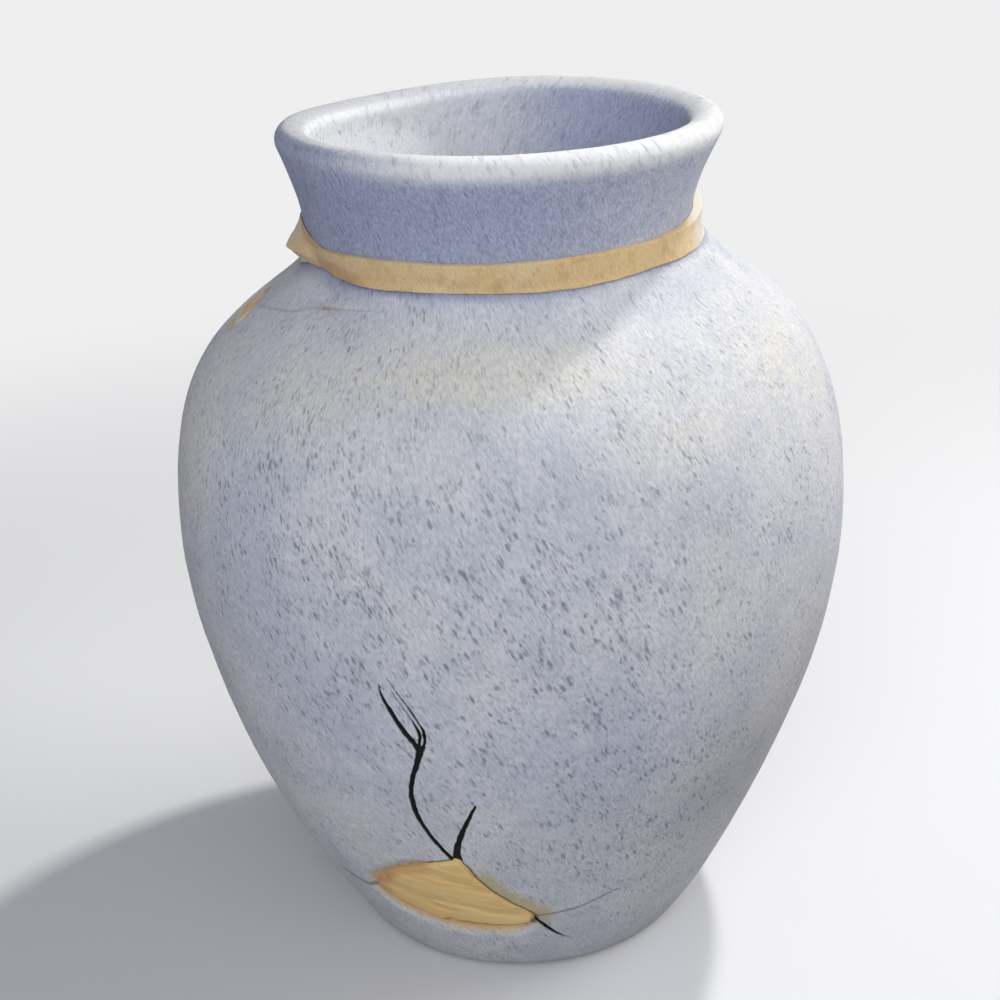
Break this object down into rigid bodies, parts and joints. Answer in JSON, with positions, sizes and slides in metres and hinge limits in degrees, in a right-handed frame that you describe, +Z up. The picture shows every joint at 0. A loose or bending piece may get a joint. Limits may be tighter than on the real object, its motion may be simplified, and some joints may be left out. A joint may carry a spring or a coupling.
{
  "type": "pottery vase",
  "caption": "Round-shouldered pottery vase with a flared neck and rolled lip, cracked stone finish worn through to tan clay, and a tan strap tied round the neck.",
  "frame": {"origin": "centre of the foot, on the surface that the vase stands on", "axes": "+Z up along the vase's axis, front of the picture towards -Y, the strap's knot towards -X"},
  "size_m": [0.2382, 0.2382, 0.3],
  "materials": {
    "clay": "bare tan earthenware, ridged and matte",
    "slip": "dried clay slip, matte",
    "stone_finish": "matte sandy stone finish, pale blue-grey with darker blue-grey speckles",
    "glaze": "thin satin inner glaze",
    "suede": "tan suede, soft nap"
  },
  "bodies": {
    "root": {"clay_body": "clay", "neck_collar": "clay", "luting_ring": "slip", "body_coat": "stone_finish", "neck_coat": "stone_finish", "glaze_liner": "glaze", "neck_strap": "suede", "strap_knot": "suede"}
  },
  "joints": []
}
